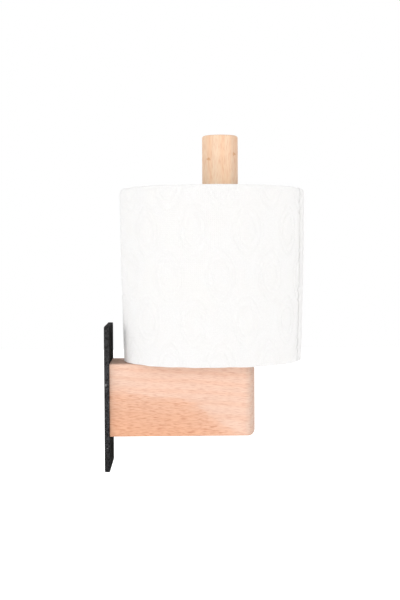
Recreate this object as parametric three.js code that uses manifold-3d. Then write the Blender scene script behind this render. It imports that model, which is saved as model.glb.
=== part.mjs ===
// Wall-mounted toilet roll holder: a square beech arm screwed to a black steel wall plate, a round
// beech spindle glued upright into the arm, and a roll of tissue standing on the arm over the spindle.
// Millimetres. The origin is on the plate's back face, at the wall, level with the arm's middle.
// +X points out of the wall, +Y to the right of somebody facing the wall, +Z up.

import * as THREE from "three";
import { mergeVertices } from "three/addons/utils/BufferGeometryUtils.js";
import Module from "manifold-3d";

// Tissue roll
const ROLL_DIAMETER = 103.6;
const ROLL_HEIGHT = 96;
const ROLL_FOOT_TUCK = 1.9; // how far the foot is drawn in from the full radius
const ROLL_TOP_ROUND = 2.4; // soft upper edge
const CORE_BORE = 40;
const CORE_WALL = 1;
const CORE_RECESS = 0.4; // the card tube ends just inside the paper at the top
const SHEET_LENGTH = 120; // from the free end back to the first perforation
const LAYER_PITCH = 0.7; // radius that one loose turn of paper adds
const TAIL_BEARING = 69; // degrees from the -Y side towards +X, where the free end lies
const SHEET_TUCK = 60; // degrees of the soft upper edge that the last sheet follows

// Where the roll and the spindle stand
const ROLL_PLATE_GAP = 5.1; // roll to the plate's front face
const ROLL_SETBACK = 4.85; // the roll stands this much nearer the wall than the spindle's axis

// Spindle
const SPINDLE_DIAMETER = 20;
const SPINDLE_PROUD = 29.7; // length that shows above the roll
const SPINDLE_TOP_ROUND = 1.3;
const SPINDLE_FOOT_CHAMFER = 1;

// Arm
const ARM_WIDTH = 40;
const ARM_HEIGHT = 40;
const ARM_END_WOOD = 8; // wood between the spindle and the free end
const ARM_FLOOR = 16; // wood left under the spindle
const ARM_END_ROUND = 4.5; // upright edges of the free end
const ARM_END_EASE = 3.5; // upper and lower edges of the free end
const ARM_EDGE_ROUND = 1; // long edges

// Wall plate
const PLATE_MARGIN = 20; // bare plate above and below the arm, were it not raised
const PLATE_RAISE = 0.7; // the plate's middle sits this much above the arm's
const PLATE_LIP = 2.5; // bare plate at each side of the arm
const PLATE_THICKNESS = 2.8; // with its coat
const PLATE_CORNER = 2;
const PLATE_EDGE_BREAK = 0.4;
const WALL_HOLE_DIAMETER = 6;
const WALL_HOLE_SINK_DIAMETER = 10.5;

// Countersunk wood screws that hold the arm, driven from the plate's back
const SCREW_SPACING = 20;
const SCREW_LENGTH = 35;
const SCREW_DIAMETER = 4;
const SCREW_HEAD_DIAMETER = 8;
const SCREW_HEAD_RIM = 0.3;
const SCREW_TIP_LENGTH = 6;
const SCREW_SINK = 0.2; // head below the plate's back face
const DRIVE_SPAN = 4.2;
const DRIVE_WIDTH = 1;
const DRIVE_DEPTH = 1.6;

// Clearances
const GLUE_GAP = 0.3;
const SCREW_CLEARANCE = 0.3;
const REST_GAP = 0.3; // under the roll
const PAPER_GAP = 0.3; // between core, winding and last sheet

// Fineness of round forms
const ROUND_SIDES = 48;
const SCREW_SIDES = 20;
const ARC_STEPS = 5;
const ROLL_STEP_DEGREES = 5;
const ROLL_WALL_STEPS = 8;

const CUT_MARGIN = 1; // how far a cutting tool runs past the face that it cuts
const HALF_TURN = Math.PI;
const FULL_TURN = 2 * Math.PI;

// Places that follow from the sizes above
const rollRadius = ROLL_DIAMETER / 2;
const spindleRadius = SPINDLE_DIAMETER / 2;
const rollReach = PLATE_THICKNESS + ROLL_PLATE_GAP + rollRadius;
const spindleReach = rollReach + ROLL_SETBACK;
const armEnd = spindleReach + spindleRadius + ARM_END_WOOD;
const armTop = ARM_HEIGHT / 2;
const rollFoot = armTop + REST_GAP;
const spindleTop = rollFoot + ROLL_HEIGHT + SPINDLE_PROUD;
const spindleSeat = -armTop + ARM_FLOOR;
const plateHeight = ARM_HEIGHT + 2 * PLATE_MARGIN;
const plateWidth = ARM_WIDTH + 2 * PLATE_LIP;
const wallHoleSpread = armTop + PLATE_MARGIN / 2;
const coreRadius = CORE_BORE / 2 + CORE_WALL;
const sheetThickness = LAYER_PITCH - PAPER_GAP;

const wasm = await Module();
wasm.setup();

// A closed geometry as a solid that can be joined and cut. A revolved profile has flat triangles
// where it meets the axis, and those are left out.
function solidOf(geometry) {
  const bare = new THREE.BufferGeometry();
  bare.setAttribute("position", geometry.getAttribute("position"));
  bare.setIndex(geometry.index);
  const merged = mergeVertices(bare);
  const corners = merged.index.array;
  const triangles = [];
  for (let i = 0; i < corners.length; i += 3) {
    const [a, b, c] = corners.slice(i, i + 3);
    if (a !== b && b !== c && c !== a) triangles.push(a, b, c);
  }
  return new wasm.Manifold(
    new wasm.Mesh({
      numProp: 3,
      vertProperties: merged.attributes.position.array,
      triVerts: new Uint32Array(triangles),
    }),
  );
}

function geometryOf(solid) {
  const mesh = solid.getMesh();
  const geometry = new THREE.BufferGeometry();
  geometry.setAttribute("position", new THREE.BufferAttribute(mesh.vertProperties, 3));
  geometry.setIndex(new THREE.BufferAttribute(mesh.triVerts, 1));
  geometry.computeVertexNormals();
  return geometry;
}

// Points along an arc, as [x, y] or [radius, height] pairs.
function arc(centreX, centreY, radius, fromDegrees, toDegrees) {
  const points = [];
  for (let i = 0; i <= ARC_STEPS; i++) {
    const turn = THREE.MathUtils.degToRad(THREE.MathUtils.lerp(fromDegrees, toDegrees, i / ARC_STEPS));
    points.push([centreX + radius * Math.cos(turn), centreY + radius * Math.sin(turn)]);
  }
  return points;
}

// A [radius, height] profile, listed from the foot up, revolved round the Z axis.
function turned(profile, sides = ROUND_SIDES) {
  const points = profile.map(([radius, height]) => new THREE.Vector2(radius, height));
  return solidOf(new THREE.LatheGeometry(points, sides).rotateX(HALF_TURN / 2));
}

// The same, round the X axis, with the profile's heights along +X.
function turnedAlongX(profile, sides) {
  return turned(profile, sides).rotate([0, 90, 0]);
}

// A rectangle's outline, with one radius for the corners at low x and one for those at high x.
function roundedOutline(lowX, lowY, highX, highY, lowRadius, highRadius) {
  const corners = [
    [lowX + lowRadius, lowY + lowRadius, lowRadius, 2],
    [highX - highRadius, lowY + highRadius, highRadius, 3],
    [highX - highRadius, highY - highRadius, highRadius, 0],
    [lowX + lowRadius, highY - lowRadius, lowRadius, 1],
  ];
  const points = corners.flatMap(([x, y, radius, quarter]) =>
    radius > 0 ? arc(x, y, radius, quarter * 90, (quarter + 1) * 90) : [[x, y]],
  );
  return new THREE.Shape(points.map(([x, y]) => new THREE.Vector2(x, y)));
}

// An outline drawn in (Y, Z), carried along +X from the plane x = 0.
function extrudedAlongX(shape, options) {
  const axes = new THREE.Matrix4().makeBasis(
    new THREE.Vector3(0, 1, 0),
    new THREE.Vector3(0, 0, 1),
    new THREE.Vector3(1, 0, 0),
  );
  return solidOf(new THREE.ExtrudeGeometry(shape, options).applyMatrix4(axes));
}

// The countersunk screw's profile from its tip up to its head, with a clearance all round.
// The head ends rimTop above the screw's zero height, so a cutting tool can run out of the plate.
function screwProfile(clearance, rimTop) {
  const shank = SCREW_DIAMETER / 2 + clearance;
  const head = SCREW_HEAD_DIAMETER / 2 + clearance;
  const cone = (SCREW_HEAD_DIAMETER - SCREW_DIAMETER) / 2;
  return [
    [0, -SCREW_LENGTH - clearance],
    [shank, -SCREW_LENGTH + SCREW_TIP_LENGTH],
    [shank, -SCREW_HEAD_RIM - cone],
    [head, -SCREW_HEAD_RIM],
    [head, rimTop],
    [0, rimTop],
  ];
}

const screwHeights = { upper: SCREW_SPACING / 2, lower: -SCREW_SPACING / 2 };

// The room that the screws take up in the plate and the arm.
function screwRoom() {
  const tool = turned(screwProfile(SCREW_CLEARANCE, SCREW_SINK + CUT_MARGIN), SCREW_SIDES);
  const alongX = tool.rotate([0, -90, 0]).translate([SCREW_SINK, 0, 0]);
  return Object.values(screwHeights).map((height) => alongX.translate([0, 0, height]));
}

function wallPlate() {
  const outline = roundedOutline(
    -plateWidth / 2,
    PLATE_RAISE - plateHeight / 2,
    plateWidth / 2,
    PLATE_RAISE + plateHeight / 2,
    PLATE_CORNER,
    PLATE_CORNER,
  );
  let plate = extrudedAlongX(outline, {
    depth: PLATE_THICKNESS - 2 * PLATE_EDGE_BREAK,
    bevelThickness: PLATE_EDGE_BREAK,
    bevelSize: PLATE_EDGE_BREAK,
    bevelOffset: -PLATE_EDGE_BREAK,
    bevelSegments: 1,
  }).translate([PLATE_EDGE_BREAK, 0, 0]);

  const hole = WALL_HOLE_DIAMETER / 2;
  const sink = WALL_HOLE_SINK_DIAMETER / 2;
  const wallHole = turnedAlongX(
    [
      [0, -CUT_MARGIN],
      [hole, -CUT_MARGIN],
      [hole, PLATE_THICKNESS - (sink - hole)],
      [sink, PLATE_THICKNESS],
      [sink, PLATE_THICKNESS + CUT_MARGIN],
      [0, PLATE_THICKNESS + CUT_MARGIN],
    ],
    ROUND_SIDES / 2,
  );
  for (const side of [-1, 1]) {
    plate = plate.subtract(wallHole.translate([0, 0, PLATE_RAISE + side * wallHoleSpread]));
  }
  for (const room of screwRoom()) plate = plate.subtract(room);
  return plate;
}

// A square block whose long edges are eased and whose free end is rounded over on all four edges, the
// upright ones more than the others.
function arm() {
  const run = armEnd - PLATE_THICKNESS;
  const plan = roundedOutline(
    -ARM_EDGE_ROUND - CUT_MARGIN,
    -ARM_WIDTH / 2,
    run,
    ARM_WIDTH / 2,
    0,
    ARM_END_ROUND,
  );
  const eased = solidOf(
    new THREE.ExtrudeGeometry(plan, {
      depth: ARM_HEIGHT - 2 * ARM_EDGE_ROUND,
      bevelThickness: ARM_EDGE_ROUND,
      bevelSize: ARM_EDGE_ROUND,
      bevelOffset: -ARM_EDGE_ROUND,
      bevelSegments: 3,
    }),
  ).translate([0, 0, ARM_EDGE_ROUND - armTop]);

  const side = roundedOutline(0, -armTop, run, armTop, 0, ARM_END_EASE);
  const length = ARM_WIDTH + 2 * CUT_MARGIN;
  const rounded = solidOf(
    new THREE.ExtrudeGeometry(side, { depth: length, bevelEnabled: false })
      .rotateX(HALF_TURN / 2)
      .translate(0, length / 2, 0),
  );

  const bore = turned([
    [0, spindleSeat - GLUE_GAP],
    [spindleRadius + GLUE_GAP, spindleSeat - GLUE_GAP],
    [spindleRadius + GLUE_GAP, armTop + CUT_MARGIN],
    [0, armTop + CUT_MARGIN],
  ]).translate([spindleReach, 0, 0]);

  let block = eased.intersect(rounded).translate([PLATE_THICKNESS, 0, 0]).subtract(bore);
  for (const room of screwRoom()) block = block.subtract(room);
  return block;
}

function armScrew() {
  let screw = turned(screwProfile(0, 0), SCREW_SIDES);
  for (const turn of [0, 90]) {
    const slot = new THREE.BoxGeometry(DRIVE_SPAN, DRIVE_WIDTH, 2 * DRIVE_DEPTH);
    screw = screw.subtract(solidOf(slot).rotate([0, 0, turn]));
  }
  return screw.rotate([0, -90, 0]);
}

function spindle() {
  return turned([
    [0, spindleSeat],
    [spindleRadius - SPINDLE_FOOT_CHAMFER, spindleSeat],
    [spindleRadius, spindleSeat + SPINDLE_FOOT_CHAMFER],
    ...arc(spindleRadius - SPINDLE_TOP_ROUND, spindleTop - SPINDLE_TOP_ROUND, SPINDLE_TOP_ROUND, 0, 90),
    [0, spindleTop],
  ]);
}

function rollCore() {
  const bore = CORE_BORE / 2;
  const height = ROLL_HEIGHT - CORE_RECESS;
  return turned([
    [bore, 0],
    [coreRadius, 0],
    [coreRadius, height],
    [bore, height],
    [bore, 0],
  ]);
}

// The roll's outer face from the foot up: it swells from the drawn-in foot to the full radius, then
// turns in over the soft upper edge as far as the angle given.
function rollFace(inset, edgeDegrees) {
  const shoulder = ROLL_HEIGHT - ROLL_TOP_ROUND;
  const points = [];
  for (let i = 0; i < ROLL_WALL_STEPS; i++) {
    const rise = i / ROLL_WALL_STEPS;
    const drawnIn = ROLL_FOOT_TUCK * (1 - Math.sin((rise * HALF_TURN) / 2));
    points.push([rollRadius - drawnIn - inset, rise * shoulder]);
  }
  points.push(...arc(rollRadius - ROLL_TOP_ROUND - inset, shoulder, ROLL_TOP_ROUND, 0, edgeDegrees));
  return points;
}

// A body through [radius, height] sections set round the Z axis, one at each bearing in radians.
// Bearings start at the -Y side and grow towards +X. An open run of sections gets end faces.
function lofted(bearings, sectionAt, closed) {
  const sections = bearings.map(sectionAt);
  const size = sections[0].length;
  const positions = sections.flatMap((section, i) =>
    section.flatMap(([radius, height]) => [
      radius * Math.sin(bearings[i]),
      -radius * Math.cos(bearings[i]),
      height,
    ]),
  );
  const triangles = [];
  const bands = closed ? sections.length : sections.length - 1;
  for (let i = 0; i < bands; i++) {
    const here = i * size;
    const next = ((i + 1) % sections.length) * size;
    for (let j = 0; j < size; j++) {
      const k = (j + 1) % size;
      triangles.push(here + j, next + j, next + k, here + j, next + k, here + k);
    }
  }
  if (!closed) {
    const last = (sections.length - 1) * size;
    const outline = sections[0].map(([radius, height]) => new THREE.Vector2(radius, height));
    for (const [a, b, c] of THREE.ShapeUtils.triangulateShape(outline, [])) {
      triangles.push(a, b, c, last + a, last + c, last + b);
    }
  }
  const geometry = new THREE.BufferGeometry();
  geometry.setAttribute("position", new THREE.Float32BufferAttribute(positions, 3));
  geometry.setIndex(triangles);
  return solidOf(geometry);
}

// The last turn winds inwards by one layer pitch. The last sheet runs back from the free end to its
// perforation, and the winding is one layer lower where that sheet lies on it.
const tail = THREE.MathUtils.degToRad(TAIL_BEARING);
const sheetTurn = SHEET_LENGTH / rollRadius;
const perforation = PAPER_GAP / rollRadius;

function windingInset(turn) {
  return (LAYER_PITCH * turn) / FULL_TURN;
}

function evenTurns(from, to) {
  const count = Math.ceil((to - from) / THREE.MathUtils.degToRad(ROLL_STEP_DEGREES));
  return Array.from({ length: count + 1 }, (_, i) => THREE.MathUtils.lerp(from, to, i / count));
}

function paperWinding() {
  const underSheet = evenTurns(0, sheetTurn);
  const open = evenTurns(sheetTurn + perforation, FULL_TURN).slice(0, -1);
  const insets = [
    ...underSheet.map((turn) => windingInset(turn + FULL_TURN)),
    ...open.map((turn) => windingInset(turn)),
  ];
  const bearings = [...underSheet, ...open].map((turn) => tail + turn);
  const bore = coreRadius + PAPER_GAP;
  const section = (_, i) => [[bore, 0], ...rollFace(insets[i], 90), [bore, ROLL_HEIGHT]];
  return lofted(bearings, section, true);
}

function lastSheet() {
  const turns = evenTurns(0, sheetTurn - perforation);
  const section = (_, i) => {
    const inset = windingInset(turns[i]);
    return [...rollFace(inset, SHEET_TUCK), ...rollFace(inset + sheetThickness, SHEET_TUCK).reverse()];
  };
  return lofted(turns.map((turn) => tail + turn), section, false);
}

const blackPaint = { color: 0x1f1e20, roughness: 0.6, metalness: 0.1 };
const armBeech = { color: 0xf0c4a4, roughness: 0.55, metalness: 0 };
const spindleBeech = { color: 0xf3d3b0, roughness: 0.5, metalness: 0 };
const zincSteel = { color: 0xb9bbb8, roughness: 0.35, metalness: 1 };
const card = { color: 0xb9a98f, roughness: 0.9, metalness: 0 };
const tissue = { color: 0xf7f5f2, roughness: 0.95, metalness: 0 };

function piece(name, solid, finish) {
  const mesh = new THREE.Mesh(geometryOf(solid), new THREE.MeshStandardMaterial(finish));
  mesh.name = name;
  return mesh;
}

const holder = new THREE.Group();
holder.add(
  piece("wall_plate", wallPlate(), blackPaint),
  piece("arm", arm(), armBeech),
  piece("spindle", spindle(), spindleBeech),
);
holder.getObjectByName("spindle").position.x = spindleReach;
for (const [place, height] of Object.entries(screwHeights)) {
  const screw = piece(`arm_screw_${place}`, armScrew(), zincSteel);
  screw.position.set(SCREW_SINK, 0, height);
  holder.add(screw);
}

const roll = new THREE.Group();
roll.position.set(rollReach, 0, rollFoot);
roll.add(
  piece("roll_core", rollCore(), card),
  piece("paper_winding", paperWinding(), tissue),
  piece("last_sheet", lastSheet(), tissue),
);

const rollHolder = new THREE.Group();
rollHolder.add(holder, roll);

export default rollHolder;
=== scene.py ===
# %% [markdown]
# # A toilet roll holder
# A square beech arm is screwed to a black steel wall plate. A beech spindle stands up in the arm, and a
# roll of tissue stands on the arm, over the spindle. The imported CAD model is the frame: it gives every
# piece its size and place and says what moves. Blender adds what the solids leave plain, such as wood
# grain, paint, screw thread, paper layers and embossing. Each step has a cell that says why, and a cell
# that does it.

# %% Load the frame
import math

import bpy
import numpy as np
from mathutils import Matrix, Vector


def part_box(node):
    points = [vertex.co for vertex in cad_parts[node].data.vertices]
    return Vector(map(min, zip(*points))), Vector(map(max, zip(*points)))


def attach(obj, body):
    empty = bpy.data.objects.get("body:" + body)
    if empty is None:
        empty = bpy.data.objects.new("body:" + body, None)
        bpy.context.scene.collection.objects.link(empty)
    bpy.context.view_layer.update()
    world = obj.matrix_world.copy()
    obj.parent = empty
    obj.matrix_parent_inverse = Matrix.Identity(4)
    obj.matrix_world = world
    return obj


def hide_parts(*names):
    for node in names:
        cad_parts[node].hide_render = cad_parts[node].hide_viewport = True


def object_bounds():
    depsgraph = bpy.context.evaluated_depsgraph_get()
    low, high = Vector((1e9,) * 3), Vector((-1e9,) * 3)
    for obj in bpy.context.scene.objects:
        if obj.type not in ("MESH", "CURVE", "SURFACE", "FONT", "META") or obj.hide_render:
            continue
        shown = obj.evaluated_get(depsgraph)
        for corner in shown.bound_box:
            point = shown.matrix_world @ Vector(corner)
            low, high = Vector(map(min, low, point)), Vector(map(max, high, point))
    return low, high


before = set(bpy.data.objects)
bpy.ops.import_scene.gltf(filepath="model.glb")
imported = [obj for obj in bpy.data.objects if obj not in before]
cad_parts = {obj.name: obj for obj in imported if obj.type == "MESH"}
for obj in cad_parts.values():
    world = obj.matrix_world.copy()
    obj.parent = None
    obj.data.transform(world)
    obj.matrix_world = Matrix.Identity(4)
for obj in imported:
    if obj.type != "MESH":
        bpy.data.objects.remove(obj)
cad_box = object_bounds()
MM = 0.001
print("frame nodes:", ", ".join(sorted(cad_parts)))

# %% [markdown]
# ## Camera
# The picture was taken almost square to the holder's side, from about 67 cm, with a portrait lens. The
# camera is set first, because every later choice is judged through it. Its place and angles come from
# lining up the plate, the arm, the spindle and the roll with their edges in the picture.

# %% Camera
CAMERA_PLACE = Vector((38.95, -670.3, 79.19)) * MM
LOOK_DOWN = 0.0374
LOOK_RIGHT = 0.0211
CAMERA_TILT = 0.005
LENS_MM = 71.44
NEAR_CLIP = 10 * MM

camera_turn = (math.pi / 2 - LOOK_DOWN, CAMERA_TILT, -LOOK_RIGHT)
bpy.ops.object.camera_add(location=CAMERA_PLACE, rotation=camera_turn)
camera = bpy.context.object
camera.name = "side_camera"
camera.data.lens = LENS_MM
camera.data.clip_start = NEAR_CLIP
bpy.context.scene.camera = camera
bpy.context.scene.view_settings.view_transform = "Standard"
print("camera at", tuple(round(v, 3) for v in camera.location))

# %% [markdown]
# ## Node helpers
# Materials, the floor and the world are node trees. Adding a node takes three lines by hand: make it,
# set it, and wire it. These short helpers do the three in one, so that a cell reads like the finished
# tree: each call names a node, what goes into it, and gives back the socket that comes out.

# %% Node helpers
def add_node(tree, kind, inputs=None, **settings):
    """Adds a node, sets it up, and fills its sockets with values or with other nodes' outputs."""
    made = tree.nodes.new("ShaderNode" + kind)
    for name, value in settings.items():
        setattr(made, name, value)
    for socket, value in (inputs or {}).items():
        if isinstance(value, bpy.types.NodeSocket):
            tree.links.new(value, made.inputs[socket])
        else:
            made.inputs[socket].default_value = value
    return made


def calculate(tree, operation, *values):
    return add_node(tree, "Math", dict(enumerate(values)), operation=operation).outputs[0]


def ramp(tree, value, start, end, low=0.0, high=1.0):
    """Eases from low to high while the value goes from start to end."""
    sockets = dict(enumerate((value, start, end, low, high)))
    return add_node(tree, "MapRange", sockets, interpolation_type="SMOOTHSTEP").outputs[0]


print("node helpers ready")

# %% [markdown]
# ## White room
# The background is pure white and the light is broad: the roll and the spindle keep their tone nearly
# to their edges. A lamp alone would leave hard shadows, so the world gives a strong all-round light. It
# shows white to the camera but lights the object less, because the Light Path node tells the two apart.
# The floor is pale, keeps the object's shadow, and is lifted to white in the same way.

# %% White room
AROUND_LIGHT = 0.66
PURE_WHITE = (1, 1, 1, 1)


def seen_directly(tree):
    """1 for what the camera sees, also in a mirror or through glass, and 0 for light on other surfaces."""
    path = add_node(tree, "LightPath").outputs
    seen = calculate(tree, "MAXIMUM", path["Is Camera Ray"], path["Is Glossy Ray"])
    return calculate(tree, "MAXIMUM", seen, path["Is Transmission Ray"])


world = bpy.data.worlds.new("white_room")
world.use_nodes = True
room_tree = world.node_tree
room_light = room_tree.nodes["Background"]
room_light.inputs["Color"].default_value = PURE_WHITE
strength = ramp(room_tree, seen_directly(room_tree), 0, 1, AROUND_LIGHT, 1)
room_tree.links.new(strength, room_light.inputs["Strength"])
bpy.context.scene.world = world
print("the room gives a light of", AROUND_LIGHT)

# %% Floor
FLOOR_SIZE = 8
FLOOR_DROP = 0.25
FLOOR_WHITE = (0.9, 0.9, 0.9, 1)
FLOOR_LIFT = 0.75

bpy.ops.mesh.primitive_plane_add(size=FLOOR_SIZE, location=(0, 0, cad_box[0].z - FLOOR_DROP))
floor = bpy.context.object
floor.name = "floor"
floor_paint = bpy.data.materials.new("floor_paint")
floor_paint.use_nodes = True
floor_tree = floor_paint.node_tree
floor_shader = floor_tree.nodes["Principled BSDF"]
floor_shader.inputs["Base Color"].default_value = FLOOR_WHITE
floor_shader.inputs["Roughness"].default_value = 1
floor_shader.inputs["Emission Color"].default_value = PURE_WHITE
lift = calculate(floor_tree, "MULTIPLY", seen_directly(floor_tree), FLOOR_LIFT)
floor_tree.links.new(lift, floor_shader.inputs["Emission Strength"])
floor.data.materials.append(floor_paint)
print("the floor is", FLOOR_SIZE, "m wide")

# %% [markdown]
# ## Lamps
# The light comes mostly from the camera's side, and the arm's top, behind the roll, is dark. So the
# strongest lamp stands in front, a little to the left. Weaker ones at both sides and behind keep the
# edges of the round pieces from going grey, and a high one at the right reaches the plate's face. Large
# area lamps are used, because a small one would draw a hard line of shade.

# %% Lamps
LAMP_TARGET = Vector((0.055, 0, 0.06))
LAMP_DISTANCE = 1.5
LAMP_SIZE = (0.7, 0.5)


def soft_lamp(name, bearing, height, watts, tint=(1, 1, 1)):
    """A lamp on a circle round the object, so many degrees to the right of the camera's side."""
    turn = math.radians(bearing)
    place = LAMP_TARGET + Vector((math.sin(turn), -math.cos(turn), 0)) * LAMP_DISTANCE
    place.z = height
    bpy.ops.object.light_add(type="AREA", location=place)
    lamp = bpy.context.object
    lamp.name = name
    lamp.rotation_euler = (LAMP_TARGET - place).to_track_quat("-Z", "Y").to_euler()
    lamp.data.shape = "RECTANGLE"
    lamp.data.size, lamp.data.size_y = LAMP_SIZE
    lamp.data.energy = watts
    lamp.data.color = tint


soft_lamp("front_lamp", bearing=-8, height=0.25, watts=5.8, tint=(1.0, 0.993, 0.99))
soft_lamp("left_lamp", bearing=-52, height=0.2, watts=1.6)
soft_lamp("right_lamp", bearing=32, height=0.2, watts=2.3, tint=(1.0, 0.985, 0.965))
soft_lamp("back_left_lamp", bearing=-128, height=0.06, watts=2.6)
soft_lamp("back_right_lamp", bearing=122, height=0.06, watts=3.1)
soft_lamp("high_right_lamp", bearing=95, height=1.6, watts=2.3)
print("six lamps ready")

# %% [markdown]
# ## Modelling helpers
# An operator works on whatever is selected and active, as a mouse click would. So each helper first
# clears the selection, then picks what it needs by its place, and then calls the operator. A finished
# piece has its place in its mesh: Apply turns the object's own move, turn and scale into vertices.

# %% Selecting helpers
def select_only(piece=None):
    """Object mode with just this piece selected, or nothing."""
    if bpy.context.object and bpy.context.object.mode != "OBJECT":
        bpy.ops.object.mode_set(mode="OBJECT")
    bpy.ops.object.select_all(action="DESELECT")
    if piece:
        piece.select_set(True)
        bpy.context.view_layer.objects.active = piece


def pick_edges(piece, wanted):
    """Edit mode, with those edges selected whose two ends pass the test."""
    select_only(piece)
    bpy.ops.object.mode_set(mode="EDIT")
    bpy.ops.mesh.select_mode(type="EDGE")
    bpy.ops.mesh.select_all(action="DESELECT")
    bpy.ops.object.mode_set(mode="OBJECT")
    points = piece.data.vertices
    for edge in piece.data.edges:
        edge.select = wanted(*(points[i].co for i in edge.vertices))
    bpy.ops.object.mode_set(mode="EDIT")


def name_piece(name):
    """Names the piece that an operator has just made, and applies its place to its mesh."""
    piece = bpy.context.object
    piece.name = name
    piece.data.name = name
    bpy.ops.object.transform_apply(location=True, rotation=True, scale=True)
    return piece


def tell(piece):
    size = [round(v / MM, 1) for v in piece.dimensions]
    print(piece.name, "is", size, "mm, with", len(piece.data.polygons), "faces")


print("selecting helpers ready")

# %% Shaping helpers
def block(name, low, high):
    select_only()
    bpy.ops.mesh.primitive_cube_add(size=1, location=(low + high) / 2, scale=high - low)
    return name_piece(name)


def finish_with(piece, kind, **settings):
    """Adds a modifier, sets it up and applies it."""
    select_only(piece)
    modifier = piece.modifiers.new(kind.lower(), kind)
    for name, value in settings.items():
        setattr(modifier, name, value)
    bpy.ops.object.modifier_apply(modifier=modifier.name)


def cut_with(piece, tool):
    """Cuts the tool's shape out of the piece and throws the tool away."""
    finish_with(piece, "BOOLEAN", operation="DIFFERENCE", object=tool, solver="EXACT")
    select_only(tool)
    bpy.ops.object.delete()


def smooth(piece, degrees=35):
    select_only(piece)
    bpy.ops.object.shade_smooth_by_angle(angle=math.radians(degrees))


def smooth_rounds(piece):
    """Smooth shading on the rounded edges, with the large faces kept flat."""
    smooth(piece)
    finish_with(piece, "WEIGHTED_NORMAL", keep_sharp=True)


print("shaping helpers ready")

# %% [markdown]
# ## Wall plate
# The real plate is a 2.5 mm blank with rounded corners, 2.8 mm thick with its coat, which softens every
# edge. It has two countersunk holes for the wall screws, and two from behind for the screws that hold
# the arm. Insetting circles by hand would need many extra cuts in the flat face, so the holes are
# drilled with Boolean tools, as a machinist would. Each tool is one turned bit, with the countersink
# and the coat's soft lip in its outline. The bevels come first: after the drilling, the short edges
# round the holes would squeeze them to nothing.

# %% Turning helpers
MERGE = 0.001 * MM
FLAT_ANGLE = 0.01


def edit_all(piece):
    """Edit mode, with the whole piece selected."""
    select_only(piece)
    bpy.ops.object.mode_set(mode="EDIT")
    bpy.ops.mesh.select_all(action="SELECT")


def face_outwards():
    """Turns the normals of the piece in edit mode outwards."""
    bpy.ops.mesh.select_all(action="SELECT")
    bpy.ops.mesh.normals_make_consistent(inside=False)


def chain(name, outline, closed=False):
    """A chain of (radius, place along X) points in millimetres, as an object of vertices and edges."""
    points = [(along * MM, 0, radius * MM) for radius, along in outline]
    edges = [(i, i + 1) for i in range(len(points) - 1)]
    if closed:
        edges.append((len(points) - 1, 0))
    mesh = bpy.data.meshes.new(name)
    mesh.from_pydata(points, edges, [])
    piece = bpy.data.objects.new(name, mesh)
    bpy.context.scene.collection.objects.link(piece)
    select_only(piece)
    return piece


def lathe(name, outline, sides):
    """A turned solid: half of its outline, from axis to axis, spun round the X axis."""
    piece = chain(name, outline)
    edit_all(piece)
    bpy.ops.mesh.spin(steps=sides, angle=2 * math.pi, center=(0, 0, 0), axis=(1, 0, 0))
    bpy.ops.mesh.select_all(action="SELECT")
    bpy.ops.mesh.remove_doubles(threshold=MERGE)
    bpy.ops.mesh.dissolve_limited(angle_limit=FLAT_ANGLE)
    face_outwards()
    select_only(piece)
    return piece


print("turning helpers ready")

# %% Drill bits, in millimetres
plate_low, plate_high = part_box("wall_plate")
arm_low, arm_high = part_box("arm")
PAST_MM = 1
WALL_HOLE = 3
WALL_SINK = 5.25
SCREW_ROOM = 2.3
HEAD_ROOM = 4.3
HEAD_RIM = 0.5
BACK_LIP = ((0.4, -PAST_MM), (0.4, -0.02), (0.1, 0.1), (0, 0.35))
FRONT_LIP = ((-0.25, -0.25), (-0.05, -0.08), (0.45, 0.02), (0.45, PAST_MM))
HOLE_SIDES = 48
front = plate_high.x / MM


def soft_lip(radius, along, curve):
    """The coat's soft lip at a hole's mouth, as steps from the mouth's sharp edge."""
    return [(radius + wider, along + further) for wider, further in curve]


bit_foot = (0, -PAST_MM)
bit_top = (0, front + PAST_MM)
cone_foot = (WALL_HOLE, front - WALL_SINK + WALL_HOLE)
WALL_BIT = [bit_foot, *soft_lip(WALL_HOLE, 0, BACK_LIP)]
WALL_BIT += [cone_foot, *soft_lip(WALL_SINK, front, FRONT_LIP), bit_top]

head_cone = [(HEAD_ROOM, HEAD_RIM), (SCREW_ROOM, HEAD_RIM + HEAD_ROOM - SCREW_ROOM)]
ARM_BIT = [bit_foot, *soft_lip(HEAD_ROOM, 0, BACK_LIP)]
ARM_BIT += [*head_cone, (SCREW_ROOM, front + PAST_MM), bit_top]


def drill(piece, outline, heights):
    """Cuts the same turned hole, along X, at each height."""
    for height in heights:
        bit = lathe("bit", outline, HOLE_SIDES)
        bit.location.z = height
        cut_with(piece, name_piece("bit"))


print("two bits with", len(WALL_BIT), "and", len(ARM_BIT), "points")

# %% Wall plate
PAST = PAST_MM * MM
PLATE_CORNER = 2 * MM
CORNER_SEGMENTS = 8
COAT_EDGE = 0.35 * MM
COAT_SEGMENTS = 3
RIM_ANGLE = 0.6

plate_middle = (plate_low.z + plate_high.z) / 2
wall_hole_spread = (plate_high.z - plate_middle + arm_high.z) / 2
wall_hole_heights = (plate_middle + wall_hole_spread, plate_middle - wall_hole_spread)
screw_heights = [sum(c.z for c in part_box(n)) / 2 for n in ("arm_screw_upper", "arm_screw_lower")]

plate = block("coated_plate", plate_low, plate_high)
pick_edges(plate, lambda a, b: abs(a.x - b.x) > PAST)
bpy.ops.mesh.bevel(offset=PLATE_CORNER, segments=CORNER_SEGMENTS, affect="EDGES")
rim = {"limit_method": "ANGLE", "angle_limit": RIM_ANGLE}
finish_with(plate, "BEVEL", width=COAT_EDGE, segments=COAT_SEGMENTS, **rim)
drill(plate, WALL_BIT, wall_hole_heights)
drill(plate, ARM_BIT, screw_heights)
smooth_rounds(plate)
tell(plate)

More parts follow.
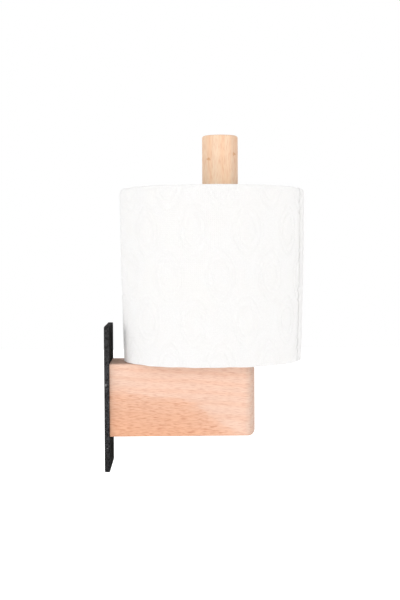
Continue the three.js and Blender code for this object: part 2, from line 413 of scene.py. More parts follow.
# %% [markdown]
# ## Arm
# The arm is a planed block: its long edges are only eased, but its free end is rounded over on all four
# edges. One bevel has one width, so the Bevel modifier reads a weight from each edge instead: the
# upright edges of the free end take the whole width, its level edges and the long ones a share of it.
# The edges against the plate stay sharp. The spindle's bore and the screws' pilot holes are drilled
# afterwards, a little wide, for the glue and the thread.

# %% Rods
def rod(name, foot, top, radius, sides):
    """An upright cylinder from one point to another."""
    select_only()
    size = {"vertices": sides, "radius": radius, "depth": (top - foot).length}
    bpy.ops.mesh.primitive_cylinder_add(location=(foot + top) / 2, **size)
    return name_piece(name)


print("rods can be made")

# %% Arm
spindle_low, spindle_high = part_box("spindle")
spindle_axis = (spindle_low + spindle_high) / 2
SPINDLE_RADIUS = (spindle_high.x - spindle_low.x) / 2
DOWEL_SIDES = 96
END_ROUND = 4.5 * MM
END_EASE = 3.5 * MM
END_SEGMENTS = 10
LONG_ROUND = 1 * MM
GLUE_GAP = 0.3 * MM
PILOT_START = front - PAST_MM
PILOT_END = 29.5
PILOT_TIP = 36
PILOT_BIT = [(0, PILOT_START), (SCREW_ROOM, PILOT_START), (SCREW_ROOM, PILOT_END), (0, PILOT_TIP)]

arm = block("beech_arm", arm_low, arm_high)
off_plate = arm_low.x + PAST
weights = arm.data.attributes.new("bevel_weight_edge", "FLOAT", "EDGE")
for edge in arm.data.edges:
    first, second = (arm.data.vertices[i].co for i in edge.vertices)
    if min(first.x, second.x) > off_plate:
        upright = abs(first.z - second.z) > PAST
        weights.data[edge.index].value = 1 if upright else END_EASE / END_ROUND
    elif max(first.x, second.x) > off_plate:
        weights.data[edge.index].value = LONG_ROUND / END_ROUND
finish_with(arm, "BEVEL", width=END_ROUND, segments=END_SEGMENTS, limit_method="WEIGHT")

bore_foot = Vector((spindle_axis.x, 0, spindle_low.z - GLUE_GAP))
bore_top = Vector((spindle_axis.x, 0, arm_high.z + PAST))
cut_with(arm, rod("bore", bore_foot, bore_top, SPINDLE_RADIUS + GLUE_GAP, DOWEL_SIDES))
drill(arm, PILOT_BIT, screw_heights)
smooth_rounds(arm)
tell(arm)

# %% [markdown]
# ## Spindle
# A plain dowel, sanded round at the top and chamfered at the foot where it goes into the bore. A
# cylinder gives the stem, and two edge bevels give it its ends.

# %% Spindle
TOP_ROUND = 1.3 * MM
TOP_SEGMENTS = 8
FOOT_CHAMFER = 1 * MM
foot = Vector((spindle_axis.x, 0, spindle_low.z))
top = Vector((spindle_axis.x, 0, spindle_high.z))

spindle = rod("beech_spindle", foot, top, SPINDLE_RADIUS, DOWEL_SIDES)
pick_edges(spindle, lambda a, b: min(a.z, b.z) > top.z - PAST)
bpy.ops.mesh.bevel(offset=TOP_ROUND, segments=TOP_SEGMENTS, affect="EDGES")
pick_edges(spindle, lambda a, b: max(a.z, b.z) < foot.z + PAST)
bpy.ops.mesh.bevel(offset=FOOT_CHAMFER, segments=1, affect="EDGES")
smooth_rounds(spindle)
tell(spindle)

# %% [markdown]
# ## Arm screws
# Two countersunk wood screws pull the arm to the plate from behind. A screw is a turned part, so half
# of its outline is drawn as a chain of points and spun round its axis. The cross in the head is cut
# with two blades, and the thread is a small triangle that the Screw modifier winds along the shank. One
# screw is made on the X axis, copied, and each copy is moved to its own hole.

# %% Screw blank
SCREW_OUTLINE = [(0, 0), (3.6, 0), (4, 0.3), (2, 2.3), (1.9, 10), (1.4, 10.6), (1.4, 29), (0, 35)]
SCREW_SIDES = 32
DRIVE_BLADE = Vector((1.6, 1.0, 4.2)) * MM

screw = lathe("screw", SCREW_OUTLINE, SCREW_SIDES)
for size in (DRIVE_BLADE, DRIVE_BLADE.xzy):
    low = Vector((-size.x, -size.y / 2, -size.z / 2))
    high = Vector((size.x, size.y / 2, size.z / 2))
    cut_with(screw, block("blade", low, high))
tell(screw)

# %% Thread and copies
THREAD_RIDGE = [(1.2, 10.2), (2.0, 10.8), (1.2, 11.4)]
THREAD_PITCH = 1.8 * MM
THREAD_TURNS = 10
THREAD_STEPS = 20
screw_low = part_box("arm_screw_upper")[0]


def join_to(piece, other):
    """Makes the other object's mesh a part of the piece."""
    select_only(other)
    piece.select_set(True)
    bpy.context.view_layer.objects.active = piece
    bpy.ops.object.join()


thread = chain("thread", THREAD_RIDGE, closed=True)
wound = {"axis": "X", "screw_offset": THREAD_PITCH, "iterations": THREAD_TURNS}
finish_with(thread, "SCREW", steps=THREAD_STEPS, render_steps=THREAD_STEPS, **wound)
bpy.ops.object.mode_set(mode="EDIT")
bpy.ops.mesh.select_mode(type="EDGE")
bpy.ops.mesh.select_non_manifold()
bpy.ops.mesh.edge_face_add()
face_outwards()
join_to(screw, thread)
smooth(screw)

screws = []
for name, height in zip(("upper_screw", "lower_screw"), screw_heights):
    select_only(screw)
    bpy.ops.object.duplicate()
    bpy.context.object.location = (screw_low.x, 0, height)
    screws.append(name_piece(name))
    tell(screws[-1])
select_only(screw)
bpy.ops.object.delete()

# %% [markdown]
# ## Card core
# A card tube is wound from strips: the inner one shows a spiral seam where its edges meet. A plain tube
# would lose that, so the inner ply is a flat grid that code rolls into a helix, with a narrow gap
# between its turns, and the Bisect operator trims it at both ends. The outer ply is a plain tube, and
# Solidify gives each its thickness, with a hair of glue between them.

# %% Rolling a grid
def rolled_grid(name, columns, rows, shape):
    """A flat grid whose points go where shape(number of the column, number of the row) puts them."""
    select_only()
    bpy.ops.mesh.primitive_grid_add(x_subdivisions=columns, y_subdivisions=rows, size=1)
    piece = name_piece(name)
    flat = np.empty(len(piece.data.vertices) * 3, np.float32)
    piece.data.vertices.foreach_get("co", flat)
    across, along = flat.reshape(-1, 3)[:, :2].T + 0.5
    columns_at = np.rint(across * columns).astype(int)
    rows_at = np.rint(along * rows).astype(int)
    points = np.stack(shape(columns_at, rows_at), axis=1).astype(np.float32)
    piece.data.vertices.foreach_set("co", points.ravel())
    piece.data.update()
    return piece


print("grids can be rolled")

# %% Card core
core_low, core_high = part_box("roll_core")
roll_axis = (core_low + core_high) / 2
CORE_RADIUS = (core_high.x - core_low.x) / 2
PLY = 0.5 * MM
GLUE_LINE = 0.02 * MM
SEAM_PITCH = 92 * MM
SEAM_GAP = 0.5 * MM
PLY_COLUMNS = 192
PLY_TURNS = 2


def on_core(turn, radius, z):
    return roll_axis.x + radius * np.sin(turn), -radius * np.cos(turn), z


def ply_points(column, row):
    turn = PLY_TURNS * 2 * math.pi * column / PLY_COLUMNS
    climb = SEAM_PITCH * turn / (2 * math.pi)
    z = core_low.z - SEAM_PITCH + climb + row * (SEAM_PITCH - SEAM_GAP)
    return on_core(turn, CORE_RADIUS - PLY, z)


def tube_points(column, row):
    turn = 2 * math.pi * column / PLY_COLUMNS
    return on_core(turn, CORE_RADIUS, core_low.z + row * (core_high.z - core_low.z))


core = rolled_grid("card_core", PLY_COLUMNS, 1, ply_points)
for height, side in ((core_low.z, -1), (core_high.z, 1)):
    edit_all(core)
    bpy.ops.mesh.bisect(plane_co=(0, 0, height), plane_no=(0, 0, side), clear_outer=True)
finish_with(core, "SOLIDIFY", thickness=PLY, offset=1)

outer_ply = rolled_grid("outer_ply", PLY_COLUMNS, 1, tube_points)
edit_all(outer_ply)
bpy.ops.mesh.remove_doubles(threshold=MERGE)
finish_with(outer_ply, "SOLIDIFY", thickness=PLY - GLUE_LINE, offset=-1)
join_to(core, outer_ply)
smooth(core)
tell(core)

# %% [markdown]
# ## Wound paper
# The roll is one long sheet, wound with soft edges, so its ends show a spiral of layer edges and its
# outside follows the spiral too. A lathe form would show closed rings. Here a flat grid is rolled up in
# code: going once round, each ring of the grid sinks by one layer, and ends where the ring inside it
# begins, so that merging the doubles makes one spiral. What stays open is the small step of the paper's
# end, outside and at the core, and Fill Holes closes both.

# %% Shape of the roll, in millimetres
ROLL_RADIUS = 51.8
ROLL_HEIGHT = 96.0
FOOT_TUCK = 1.9
EDGE_ROUND = 2.4
FOOT_ROUND = 0.2
LAYER = 0.7
SHEET_LENGTH = 120.0
TAIL_BEARING = math.radians(69)
SHOULDER = ROLL_HEIGHT - EDGE_ROUND
FOOT_WAVES = ((0.09, 5, 1.3), (0.08, 11, 0.4), (0.08, 23, 0))
WAVE_RISE = 6
roll_foot = core_low.z


def add_waves(waves, turn):
    """Adds up waves along the sheet, each with its height, its count and its start."""
    return sum(height * np.sin(count * turn + start) for height, count, start in waves)


def foot_wave(turn, up):
    """The cut foot isn't quite level: a few slow waves along the sheet, which fade upwards."""
    return add_waves(FOOT_WAVES, turn) * np.clip(1 - up / WAVE_RISE, 0, 1)


def wall_radius(turn, up):
    """The outside of the paper: it swells from the foot up and sinks one layer in each turn."""
    rise = np.clip(up / SHOULDER, 0, 1)
    return ROLL_RADIUS - FOOT_TUCK * (1 - np.sin(rise * np.pi / 2)) - LAYER * turn / (2 * np.pi)


def on_roll(turn, radius, up):
    """A place on the roll, in metres, from the turn past the free end, the radius and the height."""
    x, y, z = on_core(TAIL_BEARING + turn, radius * MM, up * MM)
    return x, y, roll_foot + z


print("the roll is", 2 * ROLL_RADIUS, "mm across and", ROLL_HEIGHT, "mm high")

# %% [markdown]
# ## Embossing
# Steel rollers press a pattern into tissue, here rows of staggered petals, a plain traditional one. A
# bump in the material would shade it, but the mesh would stay smooth, so the petals sink the mesh
# itself. Two crossed waves make a field of hills, and a petal's border is a line of equal height on it.

# %% Embossing
PETAL_WIDTH = 29.6
PETAL_HEIGHT = 48.0
PETAL_LINES = (0.8, 1.5)
LINE_WIDTH = 0.7
LINE_DEPTH = 0.6
LEAST_SLOPE = 0.02


def pressed(along, up):
    """How deep the rollers press the paper, from 0 to 1, at a place along the sheet and up it in mm."""
    a = 2 * np.pi * along / PETAL_WIDTH
    b = 2 * np.pi * up / PETAL_HEIGHT
    field = np.abs(np.cos(a) + np.cos(b))
    slope = np.hypot(np.sin(a) / PETAL_WIDTH, np.sin(b) / PETAL_HEIGHT) * 2 * np.pi + LEAST_SLOPE
    lines = [np.exp(-(((field - line) / slope / LINE_WIDTH) ** 2)) for line in PETAL_LINES]
    return np.minimum(sum(lines), 1)


print("the petals repeat every", PETAL_WIDTH, "by", PETAL_HEIGHT, "mm")

# %% Layer edges
RIDGE = 0.24
EDGE_WANDER = ((0.09, 0.37, 0), (0.07, 1.13, 1), (0.05, 2.9, 0))


def ridges(ring, turn):
    """Layer edges: every second ring lies lower, and the strip's edge wanders a little."""
    return np.where(ring % 2 == 1, -RIDGE, add_waves(EDGE_WANDER, turn + np.pi * ring))


print("a layer edge stands up by", RIDGE, "mm")

# %% Places on the winding
COLUMNS = 352
FOOT_RINGS = 78
WALL_ROWS = 104
TOP_RINGS = 84
FOOT_RIDGE_SHARE = 0.6
FOOT_RIDGE_LIFT = 0.15
WAVE_REACH = 5
sheet_turn = SHEET_LENGTH / ROLL_RADIUS


def wall_height(wall_row):
    return FOOT_ROUND + (SHOULDER - FOOT_ROUND) * wall_row / WALL_ROWS


def winding_points(column, row):
    turn = sheet_turn + 2 * np.pi * column / COLUMNS
    wall_row = np.clip(row - FOOT_RINGS, 0, WALL_ROWS)
    top_ring = np.clip(row - FOOT_RINGS - WALL_ROWS, 0, TOP_RINGS)
    inside = row > FOOT_RINGS + WALL_ROWS + TOP_RINGS
    foot_ring = np.where(inside, FOOT_RINGS, np.clip(FOOT_RINGS - row, 0, FOOT_RINGS))
    on_foot = (row < FOOT_RINGS) | inside
    on_top = (row > FOOT_RINGS + WALL_ROWS) & ~inside

    foot_depth = foot_ring * LAYER / 2
    top_depth = top_ring * LAYER / 2
    foot_curl = np.clip(1 - foot_depth / FOOT_ROUND, 0, 1)
    foot_up = FOOT_ROUND * (1 - np.sqrt(1 - foot_curl**2))
    edge_curl = np.clip(1 - top_depth / EDGE_ROUND, 0, 1)
    top_up = SHOULDER + EDGE_ROUND * np.sqrt(1 - edge_curl**2)

    up = np.where(on_foot, foot_up, np.where(on_top, top_up, wall_height(wall_row)))
    flat_top = np.clip(top_depth / EDGE_ROUND, 0, 1) ** 2
    up = up + np.where(on_top, ridges(top_ring, turn) * flat_top, 0)
    foot_ridges = ridges(foot_ring, turn) * FOOT_RIDGE_SHARE - FOOT_RIDGE_LIFT
    up = up - np.where(on_foot & (foot_ring > 1), foot_ridges, 0)
    up = up + foot_wave(turn, up) * np.clip(1 - foot_depth / WAVE_REACH, 0, 1)

    radius = wall_radius(turn, up) - np.where(on_foot, foot_depth, 0) - np.where(on_top, top_depth, 0)
    radius = radius - np.where(on_foot | on_top, 0, LINE_DEPTH * pressed(turn * ROLL_RADIUS, up))
    return on_roll(turn, radius, up)


print("the winding has", FOOT_RINGS, "rings below and", TOP_RINGS, "above")

# %% Wound paper
SPIRAL_MERGE = 0.002 * MM
PAPER_SMOOTH = 50

all_rows = FOOT_RINGS + WALL_ROWS + TOP_RINGS + 1
winding = rolled_grid("wound_paper", COLUMNS, all_rows, winding_points)
edit_all(winding)
bpy.ops.mesh.remove_doubles(threshold=SPIRAL_MERGE)
bpy.ops.mesh.select_mode(type="EDGE")
bpy.ops.mesh.select_all(action="DESELECT")
bpy.ops.mesh.select_non_manifold()
bpy.ops.mesh.fill_holes(sides=0)
face_outwards()
smooth(winding, PAPER_SMOOTH)
tell(winding)

# %% [markdown]
# ## Last sheet
# The loose end is one sheet long. It lies on the winding, ends in a torn edge at the roll's right, and
# is joined to the next sheet by a row of perforations at the back. It is the same rolled grid with the
# same embossing. Faces deleted from its first and last columns leave the torn nibs and, beside a
# hair-fine slot, the bonds of the perforation. Solidify gives it the paper's thickness.

# %% Last sheet
SHEET_COLUMNS = 126
SHEET_EDGE_ROWS = 7
SHEET_TUCK = math.radians(72)
SHEET_THICKNESS = 0.16
BOND_EVERY = 4
NIB = 0.45
BOND_START = SHEET_LENGTH - 0.25
BOND_END = SHEET_LENGTH - 0.05
TUCK_DEPTH = 0.42
TUCK_LENGTH = 9.0


def sheet_points(column, row):
    marks = [0, 1, SHEET_COLUMNS - 1, SHEET_COLUMNS]
    along = np.interp(column, marks, [0, NIB, BOND_START, BOND_END])
    turn = along / ROLL_RADIUS
    wall_up = wall_height(np.clip(row, 0, WALL_ROWS))
    curl = SHEET_TUCK * np.clip(row - WALL_ROWS, 0, None) / SHEET_EDGE_ROWS
    up = wall_up + EDGE_ROUND * np.sin(curl)
    up = up + foot_wave(turn, up)
    radius = wall_radius(turn, wall_up) - EDGE_ROUND * (1 - np.cos(curl))
    radius = radius - LINE_DEPTH * pressed(along, up) * (curl == 0)
    lying = np.clip(1 - along / TUCK_LENGTH, 0, 1) ** 2
    lying = np.maximum(lying, np.clip(curl / SHEET_TUCK, 0, 1))
    return on_roll(turn, radius - TUCK_DEPTH * lying, up)


sheet = rolled_grid("last_paper_sheet", SHEET_COLUMNS, WALL_ROWS + SHEET_EDGE_ROWS, sheet_points)
edit_all(sheet)
face_outwards()
bpy.ops.mesh.select_mode(type="FACE")
bpy.ops.mesh.select_all(action="DESELECT")
bpy.ops.object.mode_set(mode="OBJECT")
for polygon in sheet.data.polygons:
    row, column = divmod(polygon.index, SHEET_COLUMNS)
    polygon.select = column in (0, SHEET_COLUMNS - 1) and row % BOND_EVERY > 0
bpy.ops.object.mode_set(mode="EDIT")
bpy.ops.mesh.delete(type="FACE")
finish_with(sheet, "SOLIDIFY", thickness=SHEET_THICKNESS * MM, offset=-1)
smooth(sheet, PAPER_SMOOTH)
tell(sheet)

# %% [markdown]
# ## Pattern helpers
# Wood, paint, card and paper have patterns that never repeat. A picture file would have to be made and
# wrapped round each piece, so noise textures are used: they fill space, and a piece shows what it cuts.
# Scaling the place before the noise draws its clouds out, which gives streaks, flecks and fibres.

# %% Vector and colour nodes
def move_vector(tree, operation, *values):
    made = add_node(tree, "VectorMath", dict(enumerate(values)), operation=operation)
    return made.outputs["Value" if operation == "DISTANCE" else "Vector"]


def split(tree, vector):
    """The X, Y and Z of a vector, as three sockets by name."""
    return add_node(tree, "SeparateXYZ", {0: vector}).outputs


def blend_colour(tree, factor, first, second, way="MIX"):
    sockets = {0: factor, 6: first, 7: second}
    return add_node(tree, "Mix", sockets, data_type="RGBA", blend_type=way).outputs[2]


print("vector and colour nodes ready")

# %% Noise nodes
def noise(tree, place, size, detail):
    return add_node(tree, "TexNoise", {"Vector": place, "Scale": size, "Detail": detail}).outputs


def cloudy(tree, place, size=1.0, detail=2.0):
    return noise(tree, place, size, detail)["Fac"]


def stretched(tree, place, shape, detail):
    """Noise that is drawn out: the smaller a number of the shape, the longer the cloud that way."""
    return cloudy(tree, move_vector(tree, "MULTIPLY", place, shape), 1, detail)


def wobble(tree, place, size, detail, reach):
    """A small random shift of a place, up to half of the reach each way."""
    shift = move_vector(tree, "SUBTRACT", noise(tree, place, size, detail)["Color"], (0.5, 0.5, 0.5))
    return move_vector(tree, "MULTIPLY", shift, reach)


print("noise nodes ready")

# %% [markdown]
# ## Beech
# Beech is pale and even. Its growth rings hardly show, but it is full of short brown flecks where the
# rays are cut: dashes on the face that the rings run along, patches on the face across them, and fine
# lines on the end grain. A flat picture of wood would look the same on every face. So the pattern is
# solid, in three dimensions, and each face shows its own cut of it: rings are distances from a far-off
# pith, and flecks and fibres are stretched noise, which darken the wood by one tint. Arm and spindle
# share it as a node group, with the grain along the group's X.

# %% Beech node group
beech = bpy.data.node_groups.new("beech_grain", "ShaderNodeTree")
for name, kind in (
    ("Place", "NodeSocketVector"),
    ("Pale", "NodeSocketColor"),
    ("Warm", "NodeSocketColor"),
    ("Fleck", "NodeSocketColor"),
    ("Warmth", "NodeSocketFloat"),
    ("Fleck Share", "NodeSocketFloat"),
):
    beech.interface.new_socket(name, in_out="INPUT", socket_type=kind)
for name, kind in (
    ("Colour", "NodeSocketColor"),
    ("Roughness", "NodeSocketFloat"),
    ("Height", "NodeSocketFloat"),
):
    beech.interface.new_socket(name, in_out="OUTPUT", socket_type=kind)
given = beech.nodes.new("NodeGroupInput").outputs
result = beech.nodes.new("NodeGroupOutput").inputs
print("beech group takes", len(given) - 1, "values")

# %% Rings, flecks and fibres
IN_MM = (1000, 1000, 1000)
PITH = (0, 62, -34)
RING_WIDTH = 2.6
RING_STRETCH = (0.03, 1, 1)
RING_SHARE = 0.22
DRIFT_SHAPE = (0.02, 0.05, 0.05)
DRIFT_REACH = (0, 2.6, 2.6)
FLECK_SHAPE = (0.24, 0.5, 2.6)
FIBRE_SHAPE = (0.22, 3.4, 3.4)
BROAD_SHAPE = (0.03, 0.09, 0.09)
PATCH_SIZE = 0.12

in_mm = move_vector(beech, "MULTIPLY", given["Place"], IN_MM)
slow = move_vector(beech, "MULTIPLY", in_mm, DRIFT_SHAPE)
bent = move_vector(beech, "ADD", in_mm, wobble(beech, slow, 1, 1, DRIFT_REACH))

across = move_vector(beech, "MULTIPLY", bent, RING_STRETCH)
from_pith = move_vector(beech, "DISTANCE", across, PITH)
ring = calculate(beech, "SINE", calculate(beech, "MULTIPLY", from_pith, 2 * math.pi / RING_WIDTH))
ring = calculate(beech, "MULTIPLY", ramp(beech, ring, -0.4, 1), RING_SHARE)

fleck = ramp(beech, stretched(beech, bent, FLECK_SHAPE, 1.5), 0.46, 0.7)
patchy = ramp(beech, cloudy(beech, in_mm, PATCH_SIZE), 0.35, 0.62, 0.8, 1)
fleck = calculate(beech, "MULTIPLY", fleck, patchy)
fibres = stretched(beech, bent, FIBRE_SHAPE, 3)
broad = stretched(beech, in_mm, BROAD_SHAPE, 1)
print("a growth ring is", RING_WIDTH, "mm wide")

# %% Beech colour
tone = blend_colour(beech, given["Warmth"], given["Pale"], given["Warm"])
tone = blend_colour(beech, ring, tone, given["Warm"])
tone = blend_colour(beech, 1, tone, ramp(beech, broad, 0.3, 0.7, 0.975, 1.025), "MULTIPLY")
marks = calculate(beech, "MULTIPLY", fleck, given["Fleck Share"])
marks = calculate(beech, "ADD", marks, ramp(beech, fibres, 0.3, 0.7, 0.2, 0))
beech.links.new(blend_colour(beech, marks, tone, given["Fleck"], "MULTIPLY"), result["Colour"])
beech.links.new(ramp(beech, fibres, 0.3, 0.7, 0.64, 0.78), result["Roughness"])
relief = calculate(beech, "SUBTRACT", calculate(beech, "MULTIPLY", fibres, 0.6), fleck)
beech.links.new(relief, result["Height"])
print("beech group has", len(beech.nodes), "nodes")

# %% [markdown]
# ## Finish helpers
# Every finish begins with a Principled shader and reads places on its own piece, and all but the zinc
# end in a bump, so these steps are helpers. Object coordinates are used, because they stay with the piece
# when it moves.

# %% Finish helpers
def new_finish(name, **constants):
    """A material, its tree and its shader, with what is the same all over set on the shader."""
    finish = bpy.data.materials.new(name)
    finish.use_nodes = True
    shader = finish.node_tree.nodes["Principled BSDF"]
    for socket, value in constants.items():
        shader.inputs[socket.replace("_", " ")].default_value = value
    return finish, finish.node_tree, shader


def place_on_piece(tree):
    return add_node(tree, "TexCoord").outputs["Object"]


def raise_surface(tree, shader, height, depth_mm):
    """Wires a height to the shader's normal, with the height's full range as that depth."""
    bump = add_node(tree, "Bump", {"Height": height, "Distance": depth_mm * MM, "Strength": 1})
    tree.links.new(bump.outputs[0], shader.inputs["Normal"])


GRAIN_DEPTH = 0.05


def wear_beech(tree, shader, **values):
    """Places the beech group, wires all but its colour, and gives the colour back."""
    sockets = {name.replace("_", " "): value for name, value in values.items()}
    grain = add_node(tree, "Group", sockets, node_tree=beech).outputs
    tree.links.new(grain["Roughness"], shader.inputs["Roughness"])
    raise_surface(tree, shader, grain["Height"], GRAIN_DEPTH)
    return grain["Colour"]


print("finish helpers ready")

# %% [markdown]
# ## Arm finish
# The arm's lower part, near the wall, is warmer than the rest, with a border that rises from the bottom
# edge like the tip of a flame, as a flat-sawn board shows it. An image would have to be painted for
# that, so it is a soft mask in the arm's own place coordinates. The grain tilts by three degrees, the
# flecks are stronger where the wood is warm, and the free end is greyer: partly its end grain, partly
# painted shade on its rounding.

# %% Arm finish
GRAIN_TILT = math.radians(3)
WOOD_SHINE = 0.2
ARM_PALE = (0.925, 0.659, 0.525, 1)
ARM_WARM = (0.873, 0.49, 0.314, 1)
ARM_FLECK = (0.68, 0.45, 0.38, 1)
END_GRAIN_AND_SHADE_TINT = (0.78, 0.84, 0.88, 1)
STREAK_SHAPE = (40, 150, 300)

arm_finish, tree, shader = new_finish("arm_beech_oiled", Specular_IOR_Level=WOOD_SHINE)
place = place_on_piece(tree)
parts = split(tree, move_vector(tree, "MULTIPLY", place, IN_MM))
rise = ramp(tree, parts["X"], 0, 30, 5.8, 1.6)
fall = ramp(tree, parts["X"], 38, 82, 0, 22)
streaks = ramp(tree, stretched(tree, place, STREAK_SHAPE, 3), 0.25, 0.75, -1.8, 1.8)
border = calculate(tree, "ADD", calculate(tree, "SUBTRACT", rise, fall), streaks)
below = calculate(tree, "SUBTRACT", border, parts["Z"])
edge_warmth = ramp(tree, below, -0.7, 1.2, 0, 0.24)
band_warmth = ramp(tree, below, -4.5, 7, 0, 0.44)
deep_warmth = ramp(tree, below, 2, 26, 0, 0.34)
warmth = calculate(tree, "ADD", calculate(tree, "ADD", edge_warmth, band_warmth), deep_warmth)
colour = wear_beech(
    tree,
    shader,
    Place=add_node(tree, "Mapping", {"Vector": place, "Rotation": (0, -GRAIN_TILT, 0)}).outputs[0],
    Pale=ARM_PALE,
    Warm=ARM_WARM,
    Fleck=ARM_FLECK,
    Warmth=warmth,
    Fleck_Share=ramp(tree, warmth, 0, 1, 0.4, 0.66),
)
arm_end = arm_high.x / MM
# The free end is greyer: partly real end grain, partly painted shade on its rounding.
end_grain_and_shade = ramp(tree, parts["X"], arm_end - 6.5, arm_end - 0.5)
colour = blend_colour(tree, end_grain_and_shade, colour, END_GRAIN_AND_SHADE_TINT, "MULTIPLY")
tree.links.new(colour, shader.inputs["Base Color"])
arm.data.materials.append(arm_finish)
print("arm dressed")

# %% [markdown]
# ## Spindle finish
# The spindle was cut from a yellower piece. Its grain runs up, so a Mapping node turns the same pattern,
# which costs nothing, instead of a second one. Two ragged pin knots show near its top: a distance from
# a point makes each, and noise frays it. Its right side is painted a little darker, as painted shade, and
# its top is painted a little darker too, a painted shade that evens it with the less lit part near the
# roll.

# %% Spindle finish
SPINDLE_PALE = (1.0, 0.78, 0.572, 1)
SPINDLE_WARM = (1.0, 0.71, 0.486, 1)
SPINDLE_FLECK = (0.85, 0.66, 0.57, 1)
SPINDLE_FLECK_SHARE = 0.5
SPINDLE_STREAKS = (260, 260, 22)
PIN_KNOTS = ((-6.7, -7.4, 132.8), (7.7, -6.3, 135.6))
KNOT_SQUEEZE = 1.7
KNOT_BROWN = (0.74, 0.38, 0.17, 1)
SIDE_SHADE = (0.86, 0.85, 0.86, 1)
TOP_SHADE = (0.98, 0.95, 0.95, 1)

spindle_finish, tree, shader = new_finish("spindle_beech_sanded", Specular_IOR_Level=WOOD_SHINE)
off_axis = {"Vector": place_on_piece(tree), "Location": (-spindle_axis.x, 0, 0)}
centred = add_node(tree, "Mapping", off_axis).outputs[0]
upright = {"Vector": centred, "Rotation": (0, math.pi / 2, 0)}
colour = wear_beech(
    tree,
    shader,
    Place=add_node(tree, "Mapping", upright).outputs[0],
    Pale=SPINDLE_PALE,
    Warm=SPINDLE_WARM,
    Fleck=SPINDLE_FLECK,
    Warmth=ramp(tree, stretched(tree, centred, SPINDLE_STREAKS, 2), 0.35, 0.7),
    Fleck_Share=SPINDLE_FLECK_SHARE,
)
flattened = move_vector(tree, "MULTIPLY", centred, (1000, 1000, 1000 * KNOT_SQUEEZE))
flattened = move_vector(tree, "ADD", flattened, wobble(tree, flattened, 0.8, 2, (4, 4, 4)))
for x, y, z in PIN_KNOTS:
    away = move_vector(tree, "DISTANCE", flattened, (x, y, KNOT_SQUEEZE * z))
    colour = blend_colour(tree, ramp(tree, away, 0.3, 2.2, 0.72, 0), colour, KNOT_BROWN)
parts = split(tree, centred)
# Painted shade: the right side is painted darker.
painted_side_shade = ramp(tree, parts["X"], 4 * MM, 8 * MM)
colour = blend_colour(tree, painted_side_shade, colour, SIDE_SHADE, "MULTIPLY")
# Painted shade: the top is painted darker, to match the less lit part near the roll.
painted_top_shade = ramp(tree, parts["Z"], 119 * MM, 135 * MM)
colour = blend_colour(tree, painted_top_shade, colour, TOP_SHADE, "MULTIPLY")
tree.links.new(colour, shader.inputs["Base Color"])
spindle.data.materials.append(spindle_finish)
print("spindle dressed")

# %% [markdown]
# ## Powder coat
# The plate's black coat is baked powder: matt, finely pebbled, and never quite black. Along the sheared
# edges it shows wear, with a few chips, and the wear fades towards the top and bottom, a painted shade
# that keeps the edge darker there. The coat's colour is painted paler towards the top and darker below,
# as painted light above the arm and painted shade under it. The pebbling is two sizes of noise as a
# bump, because modelled pebbles would need millions of faces, and a mask of the places near the plate's
# rim lets wear and chips through only there.

# %% Powder coat
COAT_SHINE = 0.005
COAT_DARK = (0.011, 0.0105, 0.01, 1)
COAT_PALE = (0.03, 0.029, 0.0275, 1)
COAT_WORN = (0.058, 0.059, 0.064, 1)
COAT_CHIPPED = (0.2, 0.2, 0.2, 1)
RIM_INNER = 1.2 * MM
RIM_OUTER = 0.2 * MM
PEBBLE_DEPTH = 0.09

coat_finish, tree, shader = new_finish("black_powder_coat_fine", Specular_IOR_Level=COAT_SHINE)
place = place_on_piece(tree)
from_middle = move_vector(tree, "SUBTRACT", place, (0, 0, plate_middle))
height = split(tree, from_middle)["Z"]
distance = split(tree, move_vector(tree, "ABSOLUTE", from_middle))
half_height = plate_high.z - plate_middle
near_side = ramp(tree, distance["Y"], plate_high.y - RIM_INNER, plate_high.y - RIM_OUTER)
near_end = ramp(tree, distance["Z"], half_height - RIM_INNER, half_height - RIM_OUTER)
near_rim = calculate(tree, "MAXIMUM", near_side, near_end)

pebbles = cloudy(tree, place, 1900, 3)
blotches = cloudy(tree, place, 950, 3)
both = calculate(tree, "ADD", pebbles, blotches)
coat = blend_colour(tree, ramp(tree, blotches, 0.3, 0.7), COAT_DARK, COAT_PALE)
# Painted light and shade: the coat is painted paler above the arm and darker under it.
coat = blend_colour(tree, 1, coat, ramp(tree, height, -30 * MM, 30 * MM, 0.5, 1.5), "MULTIPLY")
wear_and_shade = calculate(tree, "MULTIPLY", ramp(tree, both, 0.8, 1.2, 0.05, 1), near_rim)
# Painted shade: the wear fades towards the top and bottom, which paints the rim darker there.
wear_and_shade = calculate(tree, "MULTIPLY", wear_and_shade, ramp(tree, distance["Z"], 12 * MM, 40 * MM, 1, 0.55))
coat = blend_colour(tree, wear_and_shade, coat, COAT_WORN)
chips = ramp(tree, cloudy(tree, place, 520, 1), 0.74, 0.78)
coat = blend_colour(tree, calculate(tree, "MULTIPLY", chips, near_rim), coat, COAT_CHIPPED)
tree.links.new(coat, shader.inputs["Base Color"])
tree.links.new(ramp(tree, pebbles, 0.3, 0.7, 0.7, 0.9), shader.inputs["Roughness"])
raise_surface(tree, shader, both, PEBBLE_DEPTH)
plate.data.materials.append(coat_finish)
print("plate dressed")

# %% [markdown]
# ## Zinc and card
# The screws are zinc plated: a bright metal with a faint cloudy grain, so one noise drives both colour
# and roughness. The card is grey-brown pulp with darker specks, which are the peaks of a finer noise.

# %% Zinc and card
ZINC_DARK = (0.34, 0.35, 0.36, 1)
ZINC_PALE = (0.52, 0.52, 0.505, 1)
CARD_DARK = (0.36, 0.3, 0.225, 1)
CARD_PALE = (0.52, 0.45, 0.35, 1)
CARD_SPECK = (0.22, 0.17, 0.12, 1)
PULP_SHAPE = (900, 900, 420)
PULP_DEPTH = 0.08

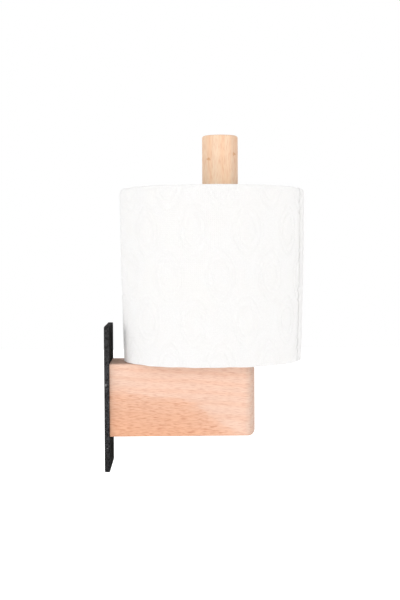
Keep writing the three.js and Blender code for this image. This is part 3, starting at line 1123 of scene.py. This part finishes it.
zinc_finish, tree, shader = new_finish("zinc_plated_screw", Metallic=1.0)
cloud = cloudy(tree, place_on_piece(tree), 900, 3)
zinc = blend_colour(tree, ramp(tree, cloud, 0.35, 0.65), ZINC_DARK, ZINC_PALE)
tree.links.new(zinc, shader.inputs["Base Color"])
tree.links.new(ramp(tree, cloud, 0.3, 0.7, 0.28, 0.42), shader.inputs["Roughness"])
for screw in screws:
    screw.data.materials.append(zinc_finish)

card_finish, tree, shader = new_finish("grey_card_pulp", Specular_IOR_Level=0.2, Roughness=0.9)
place = place_on_piece(tree)
pulp = stretched(tree, place, PULP_SHAPE, 4)
specks = ramp(tree, cloudy(tree, place, 1500, 1), 0.66, 0.74)
card = blend_colour(tree, ramp(tree, pulp, 0.3, 0.7), CARD_DARK, CARD_PALE)
card = blend_colour(tree, specks, card, CARD_SPECK)
tree.links.new(card, shader.inputs["Base Color"])
raise_surface(tree, shader, pulp, PULP_DEPTH)
core.data.materials.append(card_finish)
print("screws and core dressed")

# %% [markdown]
# ## Tissue
# Tissue is nearly white and matt: a rough diffuse surface keeps its tone nearly to the roll's edges,
# where a plain one would go grey. Besides the pressed petals it has a fine crêpe of level wrinkles and
# a light grid of dots, which are too small for the mesh and go into the bump.

# %% Tissue
CREPE_LINES = 1.05 * MM
DOTS_ROUND = 300
PAPER_SHADE = (0.89, 0.885, 0.883, 1)
PAPER_WHITE = (0.914, 0.912, 0.909, 1)
PAPER_CREAM = (0.905, 0.895, 0.88, 1)
PAPER_DEPTH = 0.12

matt = {"Roughness": 0.95, "Specular_IOR_Level": 0.15, "Diffuse_Roughness": 1.0}
tissue_finish, tree, shader = new_finish("embossed_tissue", **matt)
place = place_on_piece(tree)
centred = add_node(tree, "Mapping", {"Vector": place, "Location": (-roll_axis.x, 0, 0)}).outputs[0]
round_it = add_node(tree, "TexGradient", {"Vector": centred}, gradient_type="RADIAL").outputs["Fac"]
up = split(tree, place)["Z"]
crepe = calculate(tree, "SINE", calculate(tree, "MULTIPLY", up, 2 * math.pi / CREPE_LINES))
dots = calculate(tree, "SINE", calculate(tree, "MULTIPLY", round_it, 2 * math.pi * DOTS_ROUND))
grid = calculate(tree, "MULTIPLY", ramp(tree, crepe, -1, 1), ramp(tree, dots, -1, 1))
fibres = cloudy(tree, place, 1400, 4)
clouds = cloudy(tree, place, 70, 2)
paper = blend_colour(tree, ramp(tree, fibres, 0.35, 0.65), PAPER_SHADE, PAPER_WHITE)
paper = blend_colour(tree, ramp(tree, clouds, 0.35, 0.7, 0, 0.35), paper, PAPER_CREAM)
tree.links.new(paper, shader.inputs["Base Color"])
fuzz = calculate(tree, "MULTIPLY", fibres, 0.5)
relief = calculate(tree, "ADD", fuzz, calculate(tree, "MULTIPLY", grid, 0.6))
raise_surface(tree, shader, relief, PAPER_DEPTH)
for piece in (winding, sheet):
    piece.data.materials.append(tissue_finish)
print("roll dressed")

# %% [markdown]
# ## Riding on the frame
# Each piece stands for its CAD node and moves with that node's body: plate, arm, spindle and screws stay
# on the wall, the core lifts with the roll, and the paper turns as well. The slot is the finish that the
# CAD record gives that node.

# %% Riding on the frame
for piece, node, body, slot in (
    (plate, "wall_plate", "holder", "black_powder_coat"),
    (arm, "arm", "holder", "arm_beech"),
    (spindle, "spindle", "holder", "spindle_beech"),
    (screws[0], "arm_screw_upper", "holder", "zinc_screw"),
    (screws[1], "arm_screw_lower", "holder", "zinc_screw"),
    (core, "roll_core", "core", "core_card"),
    (winding, "paper_winding", "paper", "tissue"),
    (sheet, "last_sheet", "paper", "tissue"),
):
    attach(piece, body)
    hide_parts(node)
    print(piece.name, "rides on", body)
select_only()
